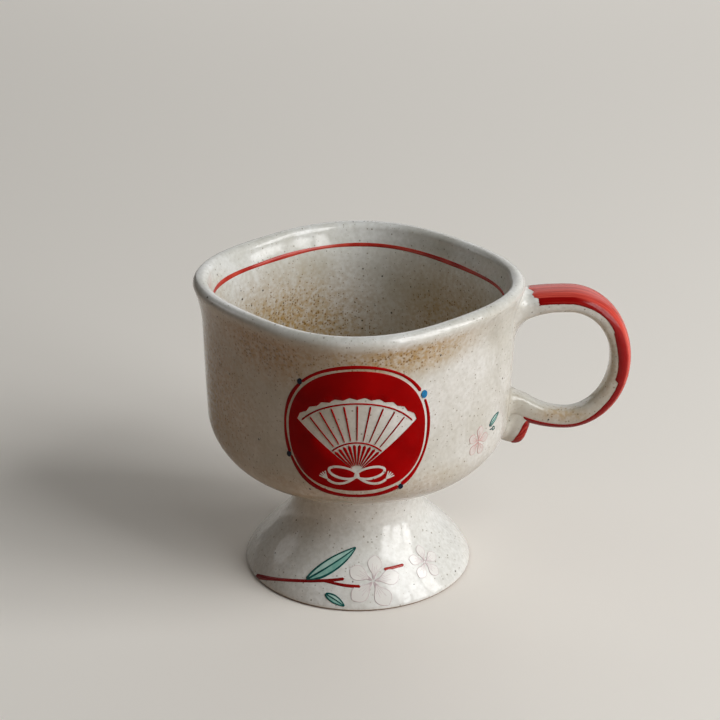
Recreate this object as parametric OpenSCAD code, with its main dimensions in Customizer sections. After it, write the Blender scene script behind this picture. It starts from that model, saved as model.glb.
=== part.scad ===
// Footed stoneware mug: a softly squared bowl on a hollow bell foot, with a strap handle that ends
// in a small curl. Slip beads hold the clay pieces together, and thin enamel layers decorate them.
// Frame, in millimetres: the table is z = 0, the bowl's axis is Z, the handle points along +X and
// the decorated front looks along -Y.

/* [Bowl] */
// Height of the lip above the table
cup_h = 96; // [90:1:110]
// Radius of the lip at the four soft corners
mouth_r = 50; // [46:0.5:54]
// How far the lip flares out past the wall
lip_flare = 2.5; // [1.5:0.1:3.5]
// How far the wall draws in from the flare down to the turn
wall_taper = 0.9; // [0.2:0.1:2]
// How far the four sides lie inside the corners
side_in = 3.6; // [0:0.2:5]
// Thickness of the wall
wall_t = 4.6; // [3.6:0.2:5.6]
// Height of the flared zone under the lip
flare_h = 16; // [10:1:20]
// Radius of the turn from the wall to the underside
turn_r = 16; // [13:0.5:18]
// How much higher the underside is at the turn than at the neck
dish = 1; // [0.4:0.2:3]
// Thickness of the floor above the neck
floor_t = 6; // [4.5:0.5:9]
// Radius of the flat middle of the floor
floor_r = 8; // [4:0.5:12]

/* [Foot] */
// Height of the foot, up to the bowl's base
foot_h = 36.8; // [33:0.2:42]
// Radius of the foot at the table
foot_r = 35.8; // [33:0.2:40]
// Radius of the neck
neck_r = 19.8; // [17:0.2:22]
// Thickness of the foot's wall, measured level
foot_t = 5.6; // [4.4:0.2:7]
// Length of the upright neck under the bowl
neck_h = 10.8; // [8:0.2:13]
// How high the straight part of the flare reaches
flare_rise = 11; // [8:1:13]
// How far the flare runs in over that height
flare_in = 4.8; // [3:0.2:7]
// How far the shoulder's sweep reaches down from the neck
sweep_drop = 12.5; // [9:0.5:14]
// Bevel at the edge of the rest ring
rest_bevel = 0.8; // [0.4:0.1:1.4]

/* [Handle] */
// Drop of the top of the loop below the lip
handle_drop = 3.2; // [2:0.2:6]
// Height of the loop, outside
loop_h = 46; // [43:0.5:48]
// Reach of the handle's outer face past the wall
handle_reach = 35.2; // [32:0.2:42]
// Distance from the wall to the top of the loop
loop_out = 15.8; // [13:0.2:18]
// Thickness of the strap
strap_t = 6.2; // [4.6:0.2:7]
// Width of the strap at its upper root
strap_w_top = 13.2; // [10:0.2:15]
// Width of the strap at the bottom of the loop
strap_w_low = 6.8; // [6:0.2:10]
// How much the upper root thickens on its inner face
root_grow_top = 5; // [2:0.2:6]
// How much the lower root thickens on its inner face
root_grow_low = 2.8; // [1:0.2:4]
// Length of the curl along the strap
curl_l = 5.2; // [4.4:0.2:6]
// Depth of the curl
curl_h = 7.6; // [6.4:0.2:8]

/* [Slip] */
// Size of the slip bead round the neck
neck_slip_r = 6; // [3:0.5:8]
// How far the slip under the upper root reaches down the wall
upper_reach = 6; // [4:0.2:7]
// How far the slip over the lower root reaches up the wall
lower_reach = 3; // [2.4:0.2:4]
// How far the slip spreads over the wall beside the roots
beside_reach = 2.6; // [1.6:0.2:3.2]

/* [Enamel] */
// Thickness of an enamel layer
enamel_t = 0.15; // [0.1:0.01:0.25]
// Glaze film between the clay and the enamel
glaze_t = 0.06; // [0.04:0.01:0.1]
// Drop of the rim line below the lip
rim_line_drop = 7; // [5:0.5:9]
// Width of the rim line
rim_line_w = 0.9; // [0.6:0.1:1.4]
// Bare length of the strap's outer face between its upper root and its enamel
enamel_off = 1.4; // [1.2:0.2:6]
// How much later the enamel starts along the strap's edges
enamel_slant = 2.4; // [2.2:0.2:4]
// Radius of the medallion's red disc
disc_r = 20.4; // [16:0.2:21]
// Gap between the disc and its ring
ring_gap = 0.8; // [0.6:0.1:1.2]
// Width of the ring
ring_w = 1; // [0.7:0.1:1.3]
// Drop of the medallion's centre below the lip
medallion_drop = 30.6; // [28:0.2:33]
// Radius of the blue dots
dot_r = 1.1; // [0.8:0.1:1.4]
// Radius of the fan left bare in the disc
fan_r = 24; // [20:0.5:25]
// Half of the angle that the fan opens to
fan_half = 50; // [40:1:52]
// Number of folds in the fan
fan_folds = 10; // [6:1:14]
// Width of the lines that draw the fan
fan_line_w = 0.5; // [0.4:0.05:0.7]

/* [Hidden] */

clay = "#CFC9BC";
slip = "#C9C2B2";
red = "#A30D0D";

// Steps round the bowl, along a round profile, and round a strap section
around = 84;
steps = 7;
strap_sides = 20;

// Heights and radii of the bowl that follow from the sizes above
lip_r = wall_t / 2;
lip_z = cup_h - lip_r;
wall_top_r = mouth_r - lip_flare;
wall_low_r = wall_top_r - wall_taper;
medallion_z = cup_h - medallion_drop;
flare_z = cup_h - flare_h;
turn_in = wall_low_r - turn_r;
turn_low = foot_h + dish;
turn_top = turn_low + turn_r;
floor_z = foot_h + floor_t;
inner_turn_r = turn_r - wall_t / 2;
inner_turn_in = wall_low_r - wall_t - inner_turn_r;

function mix(a, b, t) = a + (b - a) * t;
function clamp01(t) = min(1, max(0, t));
function smooth(t) = t * t * (3 - 2 * t);
function arc_deg(length, radius) = length / radius * 180 / PI;
function bezier2(a, b, c, t) = mix(mix(a, b, t), mix(b, c, t), t);
function bezier3(p, t) = mix(bezier2(p[0], p[1], p[2], t), bezier2(p[1], p[2], p[3], t), t);
function unit(v) = v / norm(v);

// One closed solid through a row of rings with equal point counts. Point j of a ring lies
// opposite point n - 1 - j, so the strips between such pairs close the first and the last ring.
module band(rings, wrap = false) {
  n = len(rings[0]);
  rows = len(rings);
  last = wrap ? rows - 1 : rows - 2;
  sides = [for (i = [0:last], j = [0:n - 1])
    let (k = (j + 1) % n, a = i * n, b = (i + 1) % rows * n)
    each [[a + j, b + j, b + k], [a + j, b + k, a + k]]];
  caps = wrap ? [] : [for (j = [0:n / 2 - 2])
    let (k = n - 1 - j, e = (rows - 1) * n)
    each [[j, j + 1, k - 1], [j, k - 1, k], [e + j, e + k - 1, e + j + 1], [e + j, e + k, e + k - 1]]];
  polyhedron([for (ring = rings) each ring], concat(sides, caps), convexity = 10);
}

// The bowl's plan is a circle drawn in along its four sides
function square_share(z) = smooth(clamp01((z - foot_h) / (turn_top - foot_h)));
function plan_r(corner_r, z, a) = corner_r - side_in * square_share(z) * (1 - cos(4 * a)) / 2;
function flare(z) = lip_flare * pow(clamp01((z - flare_z) / (lip_z - flare_z)), 2);
function wall_r(z) = mix(wall_low_r, wall_top_r, clamp01((z - turn_top) / (flare_z - turn_top))) + flare(z);
function turn_at(z) = turn_in + sqrt(max(0, pow(turn_r, 2) - pow(turn_top - z, 2)));
function outer_r(z) = z < turn_top ? turn_at(z) : wall_r(z);

function wall_heights(from, to, n) = [for (i = [1:n]) mix(from, to, i / n)];
function outer_profile() = concat(
  [[neck_r, foot_h]],
  [for (i = [0:steps]) let (t = 90 * (1 - i / steps))
    [turn_in + turn_r * cos(t), turn_top - turn_r * sin(t)]],
  [for (z = wall_heights(turn_top, flare_z, 2)) [wall_r(z), z]],
  [for (z = wall_heights(flare_z, lip_z, 5)) [wall_r(z), z]]);
function lip_profile() =
  [for (i = [1:steps]) let (t = 180 * i / (steps + 1))
    [mouth_r - lip_r + lip_r * cos(t), lip_z + lip_r * sin(t)]];
function inner_profile() = concat(
  [for (z = concat([lip_z], wall_heights(lip_z, flare_z, 4))) [wall_r(z) - wall_t, z]],
  [for (i = [0:steps]) let (t = 90 * i / steps)
    [inner_turn_in + inner_turn_r * cos(t), floor_z + dish + inner_turn_r * (1 - sin(t))]],
  [[floor_r, floor_z]]);

module bowl() {
  profile = concat(outer_profile(), lip_profile(), inner_profile());
  color(clay) band([for (p = profile)
    [for (j = [0:around - 1]) let (a = 360 * (j + 0.5) / around, r = plan_r(p[0], p[1], a))
      [r * cos(a), r * sin(a), p[1]]]]);
}

// The foot's outline: a flare, a rounded shoulder and an upright neck
neck_z = foot_h - neck_h;
foot_curve = [[foot_r, rest_bevel], [foot_r - flare_in, flare_rise],
              [neck_r, neck_z - sweep_drop], [neck_r, neck_z]];
foot_steps = 24;
function foot_edge(t) = bezier3(foot_curve, t);

module foot() {
  outside = [for (i = [0:foot_steps]) foot_edge(i / foot_steps)];
  inside = [for (i = [foot_steps:-1:0]) foot_edge(i / foot_steps) - [foot_t, 0]];
  color(clay) rotate_extrude($fn = 96)
    polygon(concat([[foot_r - rest_bevel, 0]], outside, [[neck_r, foot_h], [neck_r - foot_t, foot_h]],
                   inside, [[foot_r - foot_t, 0]]));
}

// Bead in the corner between the upright neck and the bowl's underside
bead_fill = 0.2;

module neck_slip() {
  under_slope = dish / (turn_in - neck_r);
  low = [neck_r, foot_h - neck_slip_r];
  corner = [neck_r, foot_h];
  high = [neck_r + neck_slip_r, foot_h + neck_slip_r * under_slope];
  hollow = mix(corner, (low + high) / 2, bead_fill);
  color(slip) rotate_extrude($fn = 96)
    polygon(concat([corner], [for (i = [0:8]) bezier2(low, hollow, high, i / 8)]));
}

// Centre line of the strap: an ellipse whose inner half is drawn out towards the wall
handle_x = wall_top_r + handle_reach;
handle_top = cup_h - handle_drop;
loop_x = wall_top_r + loop_out;
loop_z = handle_top - loop_h / 2;
loop_rise = (loop_h - strap_t) / 2;
loop_right = handle_x - strap_t / 2 - loop_x;
lead_top = 40;
lead_low = 25.5;
root_gap = 1.4;
root_x = wall_top_r + root_gap;
upper_root_x = outer_r(handle_top) + root_gap;
strap_steps = 40;

function loop_lead(t) = cos(t) > 0 ? loop_right : sin(t) > 0 ? lead_top : lead_low;
function loop_at(t) = [loop_x + loop_lead(t) * cos(t), loop_z + loop_rise * sin(t)];
// Turn of the centre line where it passes x on its way from the upper or to the lower root
function upper_turn(x) = acos((x - loop_x) / lead_top);
function lower_turn(x) = -acos((x - loop_x) / lead_low);
first_turn = upper_turn(upper_root_x);
last_turn = lower_turn(root_x);
function share_of(turn) = (turn - first_turn) / (last_turn - first_turn);
function strap_at(s) = loop_at(mix(first_turn, last_turn, s));
step = 0.002;
function strap_along(s) = unit(strap_at(s + step) - strap_at(s - step));
// Pointing out of the loop
function strap_out(s) = let (d = strap_along(s)) [-d[1], d[0]];

// The strap thickens on its inner face towards the roots, and narrows from the top to the bottom
root_zone_top = 11.4;
root_zone_low = 17.6;
function root_grow(s, x) =
  s < 0.5 ? root_grow_top * pow(clamp01(1 - (x - wall_top_r) / root_zone_top), 2)
          : root_grow_low * pow(clamp01(1 - (x - wall_top_r) / root_zone_low), 2);
taper_from = 0.12;
taper_to = 0.74;
function strap_half_w(s) =
  mix(strap_w_top, strap_w_low, smooth(clamp01((s - taper_from) / (taper_to - taper_from)))) / 2;

// Section of the strap: a rounded rectangle, from the side away from the front round the outer face
section_power = 2.8;
function soft(v) = sign(v) * pow(abs(v), 2 / section_power);
function strap_place(s, a, lift, grow) =
  let (c = strap_at(s), o = strap_out(s),
       q = (strap_t / 2 + lift + (sin(a) > 0 ? 0 : grow)) * soft(sin(a)),
       y = (strap_half_w(s) + lift) * soft(cos(a)))
  [c[0] + o[0] * q, y, c[1] + o[1] * q];
function strap_point(s, a, lift = 0) = strap_place(s, a, lift, root_grow(s, strap_at(s)[0]));
function ring_angle(j, n) = 360 * (j + 0.5) / n;
function strap_ring(s) = [for (j = [0:strap_sides - 1]) strap_point(s, ring_angle(j, strap_sides))];

// Foot of a point on the film of slip that covers the bowl's wall, straight in along X
slip_film = 0.16;
function wall_angle(y, r, n) =
  n == 0 ? asin(y / r) : let (a = wall_angle(y, r, n - 1)) asin(y / plan_r(r, cup_h, a));
function on_wall(p) =
  let (r = outer_r(p[2]), a = wall_angle(p[1], r, 3), w = plan_r(r, p[2], a))
  [w * cos(a) + slip_film, p[1], p[2]];

// The roots end on the wall, where they are thickest
function root_end(s) = [for (j = [0:strap_sides - 1])
  on_wall(strap_place(s, ring_angle(j, strap_sides), 0, root_grow(s, wall_top_r)))];
strap_rings = concat([root_end(0)], [for (i = [0:strap_steps]) strap_ring(i / strap_steps)], [root_end(1)]);

// Rings that close an end over the wall, from its middle out to its edge
end_shares = [0.2, 0.5, 0.8];
function middle(ring) = [for (p = ring) 1] * ring / len(ring);
function end_rings(ring) = [for (k = end_shares) [for (p = ring) on_wall(mix(middle(ring), p, k))]];
function reverse(v) = [for (i = [len(v) - 1:-1:0]) v[i]];

module handle() {
  first = strap_rings[0];
  last = strap_rings[len(strap_rings) - 1];
  color(clay) band(concat(end_rings(first), strap_rings, reverse(end_rings(last))));
}

// Fillet of slip round a root: rings of the strap are its inner face, and it spreads over the wall
// by up and down above and below the root
fillet_fill = 0.35;
fillet_steps = 5;
function spread(end, up, down) =
  let (heights = [for (p = end) p[2]], mid = (min(heights) + max(heights)) / 2)
  [for (p = end)
    let (d = unit([p[1], p[2] - mid]), reach = mix(beside_reach, d[1] > 0 ? up : down, d[1] * d[1]))
    on_wall([p[0], p[1] + d[0] * reach, p[2] + d[1] * reach])];

module root_fillet(rings, up, down) {
  end = rings[0];
  outer = spread(end, up, down);
  tip = rings[len(rings) - 1];
  n = len(end);
  color(slip) band([for (j = [0:n - 1])
    let (hollow = mix(end[j], (tip[j] + outer[j]) / 2, fillet_fill))
    concat([for (ring = rings) ring[j]],
           [for (i = [1:fillet_steps]) bezier2(tip[j], hollow, outer[j], i / fillet_steps)],
           [on_wall((outer[j] + end[j]) / 2)])], wrap = true);
}

// The lip and the curl leave room for thin fillets only, above the upper and under the lower root
over_slip = 0.8;
under_slip = 0.1;

// The upper fillet runs further along the strap's inner face than along its enamelled outer face.
// run counts rings of the strap.
least_run = 0.25;
most_run = 2;
function fillet_run(a) = mix(least_run, most_run, pow((1 - sin(a)) / 2, 2));
function along_rings(j, run) =
  run < 1 ? mix(strap_rings[1][j], strap_rings[2][j], run)
          : mix(strap_rings[2][j], strap_rings[3][j], run - 1);

module upper_slip() {
  runs = [for (j = [0:strap_sides - 1]) fillet_run(ring_angle(j, strap_sides))];
  part_way = [for (j = [0:strap_sides - 1]) along_rings(j, runs[j] < 1 ? runs[j] / 2 : 1)];
  tip = [for (j = [0:strap_sides - 1]) along_rings(j, runs[j])];
  root_fillet([strap_rings[0], strap_rings[1], part_way, tip], over_slip, upper_reach);
}

module lower_slip() {
  last = len(strap_rings) - 1;
  n = strap_sides;
  flip = [for (i = [0:2]) [for (j = [n - 1:-1:0]) strap_rings[last - i][j]]];
  root_fillet(flip, lower_reach, under_slip);
}

// The curl: a blunt lobe that hangs from the strap's underside, from the wall out to a rounded tip
curl_steps = 10;
curl_sides = 16;
curl_gap = 0.4;
curl_blunt = 3.4;
curl_tip = 0.06;
curl_half_w = strap_w_low / 2;
function curl_share(s) = share_of(lower_turn(root_x + curl_l * s));
function curl_swell(s) = max(curl_tip, pow(max(0, 1 - pow(s, curl_blunt)), 1 / curl_blunt));
function curl_place(s, a, lift) =
  let (u = curl_share(s), c = strap_at(u), o = strap_out(u), k = curl_swell(s), half = curl_h / 2 * k,
       q = strap_t / 2 + curl_gap + half + (half + lift) * sin(a))
  [c[0] + o[0] * q, (curl_half_w * k + lift) * cos(a), c[1] + o[1] * q];
// Where the wall stands further out than the strap's root, the lobe bends out along it
function curl_point(s, a, lift = 0) =
  let (p = curl_place(s, a, lift), clear = on_wall(p)[0] + curl_gap + curl_l * s / 2)
  [max(p[0], clear), p[1], p[2]];
function curl_station(i) = sin(90 * i / curl_steps);
function curl_ring(s) = [for (j = [0:curl_sides - 1]) curl_point(s, ring_angle(j, curl_sides))];

module handle_curl() {
  root = [for (p = curl_ring(0)) on_wall(p)];
  color(clay) band(concat([for (i = [curl_steps:-1:0]) curl_ring(curl_station(i))],
                          [root], reverse(end_rings(root))));
}

// Places on the glazed surfaces. lift is the height above the clay.
medallion_turn = -88.4;
function face_z(b) =
  let (down = medallion_z + b - turn_top)
  down >= 0 ? medallion_z + b : turn_top + turn_r * sin(arc_deg(down, turn_r));
function on_bowl(p, lift) =
  let (z = face_z(p[1]), a = medallion_turn + arc_deg(p[0], wall_low_r),
       out = z < turn_top ? unit([outer_r(z) - turn_in, z - turn_top]) : [1, 0],
       r = plan_r(outer_r(z), z, a) + out[0] * lift)
  [r * cos(a), r * sin(a), z + out[1] * lift];

// p is the bearing in degrees and the way up the flare, from 0 at the rest ring to 1 at the neck
function on_foot(p, lift) =
  let (e = foot_edge(p[1]), d = unit(foot_edge(p[1] + 0.01) - foot_edge(p[1] - 0.01)),
       r = e[0] + d[1] * lift)
  [r * cos(p[0]), r * sin(p[0]), e[1] - d[0] * lift];

// Rings of an enamel layer that covers rows of places
function skin(rows, place) = [for (row = rows) concat(
  [for (p = row) place(p, glaze_t + enamel_t)],
  [for (j = [len(row) - 1:-1:0]) place(row[j], glaze_t)])];
bowl_place = function (p, lift) on_bowl(p, lift);
foot_place = function (p, lift) on_foot(p, lift);

// A brush stroke along a spine of places, with a half width at each. scale turns places to lengths.
function stroke_rows(spine, half, scale = [1, 1], across = 1) =
  [for (i = [0:len(spine) - 1])
    let (a = spine[max(0, i - 1)], b = spine[min(len(spine) - 1, i + 1)],
         d = unit([(b[0] - a[0]) * scale[0], (b[1] - a[1]) * scale[1]]),
         side = [-d[1] / scale[0], d[0] / scale[1]] * half[i])
    [for (j = [0:across]) spine[i] + side * (1 - 2 * j / across)]];

module bowl_stroke(spine, half, across = 1) {
  band(skin(stroke_rows(spine, half, [1, 1], across), bowl_place));
}

module rim_line() {
  z = cup_h - rim_line_drop;
  heights = [z - rim_line_w / 2, z + rim_line_w / 2];
  color(red) band([for (i = [0:around - 1]) let (a = 360 * (i + 0.5) / around)
    [for (k = [[1, 0], [1, 1], [0, 1], [0, 0]])
      let (h = heights[k[1]], r = plan_r(wall_r(h) - wall_t, h, a) - glaze_t - enamel_t * k[0])
      [r * cos(a), r * sin(a), h]]], wrap = true);
}

// The bare fan: a sector with its pivot low in the disc
pivot = [0, -12];
fan_leaf_in = 9.6;
field_margin = 1;
field_steps = 96;
function to_arc(u) = let (k = u * pivot) k + sqrt(k * k - pivot * pivot + fan_r * fan_r);
function to_side(u, side) =
  let (e = [side * cos(fan_half), -sin(fan_half)], k = u * e) k > 0.001 ? (pivot * e) / k : 1000;
function fan_reach(u) = min(to_arc(u), to_side(u, 1), to_side(u, -1));

// Distance from the middle to a round outline at a bearing. It is fuller and flatter below.
function soft_round(a, wide, up, down, fullness) =
  let (p = sin(a) > 0 ? 2 : fullness, high = sin(a) > 0 ? up : down)
  1 / pow(pow(abs(cos(a)) / wide, p) + pow(abs(sin(a)) / high, p), 1 / p);
disc_widen = 0.6;
disc_trim = 1.8;
disc_full = 2.5;
function disc_edge(a) = soft_round(a, disc_r + disc_widen, disc_r, disc_r - disc_trim, disc_full);

module medallion_field() {
  rows = [for (i = [0:field_steps - 1])
    let (a = 360 * i / field_steps, u = [cos(a), sin(a)], far = disc_edge(a),
         near = min(fan_reach(u), far - field_margin))
    [for (j = [0:3]) u * mix(near, far, j / 3)]];
  color(red) band(skin(rows, bowl_place), wrap = true);
}

// The ring is brushed in four strokes between the dots, and hangs a little lower than the disc
dot_bearings = [27, 138, 204, 306];
dot_clear = 0.3;
arc_steps = 24;
ring_drop = 1.3;
ring_full = 2.2;
function ring_in(a) =
  soft_round(a, disc_r + disc_widen + ring_gap, disc_r + ring_gap, disc_r - disc_trim + ring_gap + ring_drop,
             ring_full);
function dot_out(a) = ring_in(a) + ring_w;

module medallion_ring() {
  clear = arc_deg(dot_r + dot_clear, disc_r + ring_gap);
  n = len(dot_bearings);
  color(red) for (i = [0:n - 1]) {
    from = dot_bearings[i] + clear;
    to = dot_bearings[(i + 1) % n] + (i == n - 1 ? 360 : 0) - clear;
    rows = [for (k = [0:arc_steps])
      let (a = mix(from, to, k / arc_steps), u = [cos(a), sin(a)])
      [u * ring_in(a), u * (ring_in(a) + ring_w)]];
    band(skin(rows, bowl_place));
  }
}

module medallion_dots() {
  across = 8;
  blunt = 0.15;
  color("#24507F") for (a = dot_bearings) {
    turns = [for (i = [0:across]) 180 * (i + blunt) / (across + 2 * blunt)];
    bowl_stroke([for (t = turns) dot_out(a) * [cos(a), sin(a)] + dot_r * [cos(t), 0]],
                [for (t = turns) dot_r * sin(t)]);
  }
}

// Points of the fan by bearing from its middle and distance from its pivot
function fan_at(a, r) = pivot + r * [sin(a), cos(a)];
fan_edge = 1.2;
line_gap = 0.6;
rib_from = 2.6;
rib_fill = 0.62;

module medallion_lines() {
  half = fan_line_w / 2;
  fold = 2 * fan_half / fan_folds;
  arcs = [fan_leaf_in, fan_r - fan_edge];
  side = fan_half - arc_deg(line_gap, fan_leaf_in) / 2;
  color(red) {
    for (i = [1:fan_folds - 1]) {
      a = -fan_half + fold * i;
      bowl_stroke([for (k = [0:4]) fan_at(a, mix(arcs[0] + line_gap, arcs[1] - line_gap, k / 4))],
                  [for (k = [0:4]) half]);
    }
    for (i = [0:fan_folds - 1]) {
      a = -fan_half + fold * (i + 0.5);
      rib = [for (k = [0:3]) mix(rib_from, arcs[0] - line_gap, k / 3)];
      bowl_stroke([for (r = rib) fan_at(a, r)], [for (r = rib) r * tan(fold / 2) * rib_fill]);
    }
    for (r = arcs)
      bowl_stroke([for (k = [0:arc_steps]) fan_at(mix(-side, side, k / arc_steps), r)],
                  [for (k = [0:arc_steps]) half]);
  }
}

// Brushed red on the strap's outer face and a little way round its edges, as far as the curl
function enamel_from(a) = share_of(upper_turn(upper_root_x + enamel_off + enamel_slant * (1 - sin(a))));
enamel_to = curl_share(1.08);

module handle_enamel() {
  rows = 32;
  angles = [for (j = [-1:strap_sides / 2]) ring_angle(j, strap_sides)];
  color(red) band([for (i = [0:rows])
    concat([for (a = angles) strap_point(mix(enamel_from(a), enamel_to, i / rows), a, glaze_t + enamel_t)],
           [for (a = reverse(angles)) strap_point(mix(enamel_from(a), enamel_to, i / rows), a, glaze_t)])]);
}

// Red round the curl's lower side, out to its tip
module curl_enamel() {
  stations = [4:curl_steps - 1];
  angles = [for (j = [-1:curl_sides / 2]) ring_angle(j, curl_sides)];
  color(red) band(reverse([for (i = stations)
    let (s = curl_station(i))
    concat([for (a = angles) curl_point(s, a, glaze_t + enamel_t)],
           [for (a = reverse(angles)) curl_point(s, a, glaze_t)])]));
}

// Foot decoration: places are the bearing in degrees and the way up the flare
scale_share = 0.25;
foot_scale = [foot_edge(scale_share)[0] * PI / 180,
              norm(foot_edge(scale_share) - foot_edge(0)) / scale_share];

module foot_stroke(from, to, half_from, half_to, n = 6) {
  spine = [for (i = [0:n]) mix(from, to, i / n)];
  half = [for (i = [0:n]) mix(half_from, half_to, i / n)];
  band(skin(stroke_rows(spine, half, foot_scale), foot_place));
}

twig_half = 0.75;
fork_half = 0.5;
tip_half = 0.3;
main_twig = [[-150, 0.03], [-109, 0.25]];
upper_fork = [[-106.5, 0.262], [-95.6, 0.3]];
lower_fork = [[-106.5, 0.232], [-90.5, 0.216]];
short_twig = [[-71, 0.395], [-58.2, 0.392]];

module twig_enamel() {
  color(red) {
    foot_stroke(main_twig[0], main_twig[1], twig_half, fork_half, 10);
    for (twig = [upper_fork, lower_fork, short_twig])
      foot_stroke(twig[0], twig[1], fork_half, tip_half);
  }
}

// A leaf or petal between two places: full in the middle, pointed at the tip
leaf_steps = 10;
leaf_point = 0.12;
function leaf_half(w) =
  [for (i = [0:leaf_steps]) w / 2 * max(leaf_point, pow(sin(180 * pow(i / leaf_steps, 0.85)), 0.8))];
function leaf_spine(a, b) = [for (i = [0:leaf_steps]) mix(a, b, i / leaf_steps)];

module foot_leaf(from, to, w) {
  band(skin(stroke_rows(leaf_spine(from, to), leaf_half(w), foot_scale, 2), foot_place));
}

module bowl_leaf(from, to, w) {
  bowl_stroke(leaf_spine(from, to), leaf_half(w));
}

// Sprig on the bowl: a blossom beside the medallion, and a leaf that points away from it
sprig_out = 44.8;
sprig_drop = 12.6;
sprig_leaf_off = 6.6;
sprig_leaf_l = 5.4;
sprig_leaf_w = 1.8;
sprig_turn = 28.5;
sprig_at = [sprig_out, -sprig_drop];
sprig_way = [cos(sprig_turn), sin(sprig_turn)];

big_leaf = [[-117.5, 0.245], [-89.4, 0.63]];
big_leaf_w = 4.4;
small_leaf = [[-104.9, 0.122], [-94.5, 0.03]];
small_leaf_w = 2;

module leaf_enamel() {
  color("#3F7A72") {
    foot_leaf(big_leaf[0], big_leaf[1], big_leaf_w);
    foot_leaf(small_leaf[0], small_leaf[1], small_leaf_w);
    bowl_leaf(sprig_at + sprig_way * sprig_leaf_off,
              sprig_at + sprig_way * (sprig_leaf_off + sprig_leaf_l), sprig_leaf_w);
  }
}

// Five petals round each blossom's middle: where they begin and how wide they are, as shares of
// the distance that they reach
petal_from = 0.2;
petal_full = 0.6;
blossom_turn = 78;
big_petal = 8;
small_petal = 5.4;
sprig_petal = 4.6;
big_blossom = [-79, 0.27];
small_blossom = [-43.5, 0.33];

module blossom_enamel() {
  color("#E3C9C6") for (k = [0:4]) {
    a = blossom_turn + 72 * k;
    u = [cos(a), sin(a)];
    up = [u[0] / foot_scale[0], u[1] / foot_scale[1]];
    bowl_leaf(sprig_at + u * sprig_petal * petal_from, sprig_at + u * sprig_petal, sprig_petal * petal_full);
    foot_leaf(big_blossom + up * big_petal * petal_from, big_blossom + up * big_petal,
              big_petal * petal_full);
    foot_leaf(small_blossom + up * small_petal * petal_from, small_blossom + up * small_petal,
              small_petal * petal_full);
  }
}

bowl();
foot();
handle();
handle_curl();
neck_slip();
upper_slip();
lower_slip();
rim_line();
medallion_field();
medallion_ring();
medallion_lines();
medallion_dots();
handle_enamel();
curl_enamel();
twig_enamel();
leaf_enamel();
blossom_enamel();
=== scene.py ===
"""Footed stoneware mug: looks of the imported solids, in metres and in the same frame.

The table is z = 0, the bowl's axis is Z, the handle points along +X and the decorated front looks
along -Y. Sizes are in millimetres, and each mesh is brought to metres when it becomes a piece.
"""
from math import acos, asin, atan2, copysign, cos, pi, radians, sin, sqrt, tau

import bmesh
import bpy
from mathutils import Matrix, Vector, noise


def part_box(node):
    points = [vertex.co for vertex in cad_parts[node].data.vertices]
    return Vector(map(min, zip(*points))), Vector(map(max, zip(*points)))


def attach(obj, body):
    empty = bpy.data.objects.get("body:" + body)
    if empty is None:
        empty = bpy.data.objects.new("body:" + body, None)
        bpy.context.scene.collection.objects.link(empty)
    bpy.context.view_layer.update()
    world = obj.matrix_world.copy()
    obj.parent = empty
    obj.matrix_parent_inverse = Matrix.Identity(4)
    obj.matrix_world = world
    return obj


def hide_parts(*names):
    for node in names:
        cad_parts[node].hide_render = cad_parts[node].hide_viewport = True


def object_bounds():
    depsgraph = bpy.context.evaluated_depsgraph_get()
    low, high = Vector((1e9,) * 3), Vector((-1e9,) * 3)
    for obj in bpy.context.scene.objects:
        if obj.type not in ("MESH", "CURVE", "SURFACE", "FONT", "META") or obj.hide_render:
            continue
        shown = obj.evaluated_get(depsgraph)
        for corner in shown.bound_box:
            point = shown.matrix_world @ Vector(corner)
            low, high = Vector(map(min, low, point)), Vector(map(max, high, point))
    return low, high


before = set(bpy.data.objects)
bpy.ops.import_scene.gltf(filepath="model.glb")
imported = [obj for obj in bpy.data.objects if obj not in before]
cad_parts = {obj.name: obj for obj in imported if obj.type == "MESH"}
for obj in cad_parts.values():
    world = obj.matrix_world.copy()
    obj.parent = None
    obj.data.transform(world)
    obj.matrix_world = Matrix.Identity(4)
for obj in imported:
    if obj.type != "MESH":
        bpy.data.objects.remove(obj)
cad_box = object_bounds()
scene = bpy.context.scene

# Bowl: the stoneware cup, thrown round and pressed to a soft square before the clay stiffened, with
# a rolled lip, and settled over the foot's neck. Iron in the clay comes through its milky glaze as
# freckles and spots, and where the glaze ran thin the fire toasted it golden brown. Painted warm
# shade browns and darkens the glaze further on the left side, inside and on the handle's inner
# face.
MM = 0.001
cup_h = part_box("bowl")[1].z / MM
foot_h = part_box("foot")[1].z / MM
mouth_r, lip_flare, wall_taper, side_in, plan_sides = 50, 2.5, 0.9, 3.6, 4
wall_t, flare_h, turn_r, dish = 4.6, 16, 16, 1
floor_t, floor_r, neck_r, settled = 6, 8, 19.8, 1.4
lip_r = wall_t / 2
lip_z = cup_h - lip_r
wall_top_r = mouth_r - lip_flare
wall_low_r = wall_top_r - wall_taper
flare_z = cup_h - flare_h
bowl_z = foot_h - settled
turn_in = wall_low_r - turn_r
turn_top = bowl_z + dish + turn_r
floor_z = foot_h + floor_t
inner_turn_r = turn_r - lip_r
inner_turn_in = wall_low_r - wall_t - inner_turn_r
inner_top = floor_z + dish + inner_turn_r


def mix(a, b, t):
    return a + (b - a) * t


def ramp(value, start, end):
    """0 before start, 1 after end, and soft at both."""
    t = min(1, max(0, (value - start) / (end - start)))
    return t * t * (3 - 2 * t)


def plan_r(corner_r, z, bearing):
    """Radius of the softly squared plan, drawn in along its four sides."""
    drawn_in = side_in * ramp(z, bowl_z, turn_top)
    return corner_r - drawn_in * (1 - cos(plan_sides * bearing)) / 2


def outer_r(z):
    """Radius of the outside at the corners."""
    if z < turn_top:
        return turn_in + sqrt(max(0, turn_r ** 2 - (turn_top - z) ** 2))
    flare = min(1, max(0, (z - flare_z) / (lip_z - flare_z)))
    taper = min(1, (z - turn_top) / (flare_z - turn_top))
    return mix(wall_low_r, wall_top_r, taper) + lip_flare * flare ** 2


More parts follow.
